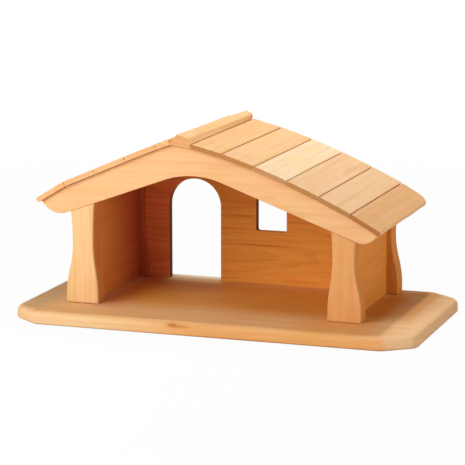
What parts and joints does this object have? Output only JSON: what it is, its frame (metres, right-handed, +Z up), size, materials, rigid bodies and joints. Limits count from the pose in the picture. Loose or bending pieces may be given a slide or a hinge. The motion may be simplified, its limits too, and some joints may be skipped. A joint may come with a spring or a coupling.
{
  "type": "wooden nativity stable",
  "caption": "Open-fronted wooden stable for crib figures: base board with cut corners, wavy posts under arched gables, walls with an arched door and a window, curved planked roof.",
  "frame": {"origin": "middle of the base board's flat underside", "axes": "+X to the right along the base board as seen from the open front, +Y to the rear, +Z up"},
  "size_m": [0.48, 0.272, 0.2205],
  "materials": {
    "base_wood": "clear satin varnish on pale softwood",
    "frame_wood": "clear satin varnish on pale softwood",
    "wall_wood": "honey-coloured stain under satin varnish",
    "roof_wood": "clear satin varnish on pale softwood",
    "dowel_wood": "bare beech"
  },
  "bodies": {
    "root": {"base_board": "base_wood", "front_left_post": "frame_wood", "rear_left_post": "frame_wood", "front_right_post": "frame_wood", "rear_right_post": "frame_wood", "front_gable": "frame_wood", "rear_gable": "frame_wood", "left_wall": "wall_wood", "right_wall": "wall_wood", "back_wall": "wall_wood", "left_roof_plank_1": "roof_wood", "left_roof_plank_2": "roof_wood", "left_roof_plank_3": "roof_wood", "left_roof_plank_4": "roof_wood", "left_roof_plank_5": "roof_wood", "right_roof_plank_1": "roof_wood", "right_roof_plank_2": "roof_wood", "right_roof_plank_3": "roof_wood", "right_roof_plank_4": "roof_wood", "right_roof_plank_5": "roof_wood", "right_roof_plank_6": "roof_wood", "ridge_bar": "roof_wood", "post_base_dowels": "dowel_wood", "gable_post_dowels": "dowel_wood"}
  },
  "joints": []
}
